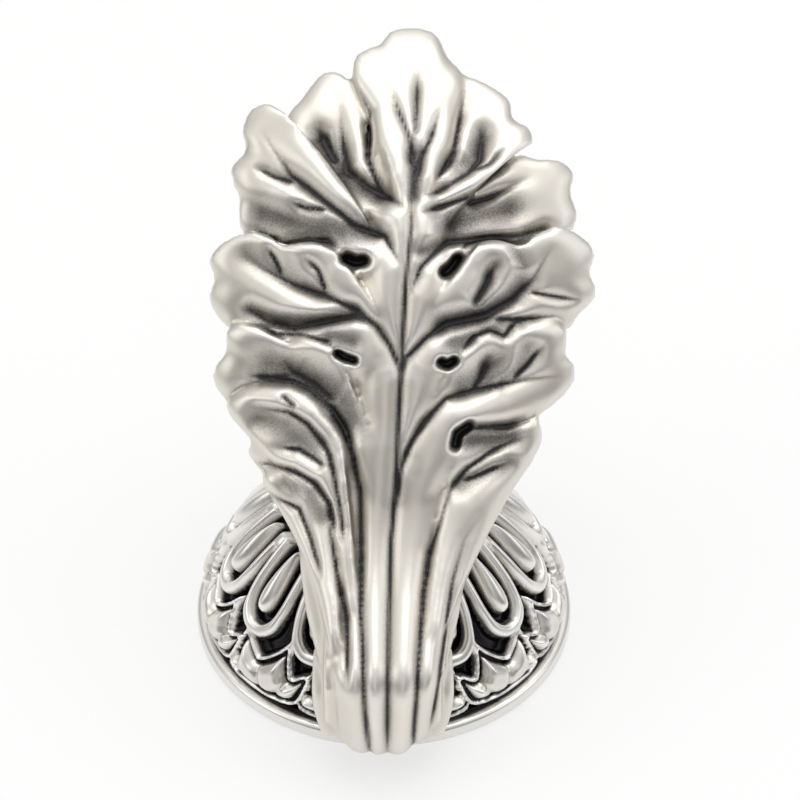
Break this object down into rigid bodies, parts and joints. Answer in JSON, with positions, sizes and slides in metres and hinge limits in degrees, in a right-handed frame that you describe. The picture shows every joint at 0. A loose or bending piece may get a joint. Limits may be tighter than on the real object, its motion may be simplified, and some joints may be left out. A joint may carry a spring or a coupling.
{
  "type": "cabinet knob with backplate",
  "caption": "Cast acanthus leaf cabinet knob with a curled-under stem, standing on a round domed rosette backplate.",
  "frame": {"origin": "centre of the backplate's back, on the axis of the fixing screw, in the plane that lies on the cabinet", "axes": "+Z away from the cabinet along the screw axis, -Y towards the knuckle of the curled stem, +Y towards the tip of the leaf, +X to the right when the leaf's face is seen"},
  "size_m": [0.0398, 0.0529, 0.0524],
  "materials": {
    "knob_silver": "satin antique silver plate, with dark patina left in the veins and hollows",
    "plate_silver": "antique silver plate, polished on the raised ornament and nearly black in the ground",
    "insert_brass": "plain turned brass with a fine inside thread"
  },
  "bodies": {
    "root": {"leaf_knob": "knob_silver", "backplate": "plate_silver", "threaded_insert": "insert_brass"}
  },
  "joints": []
}
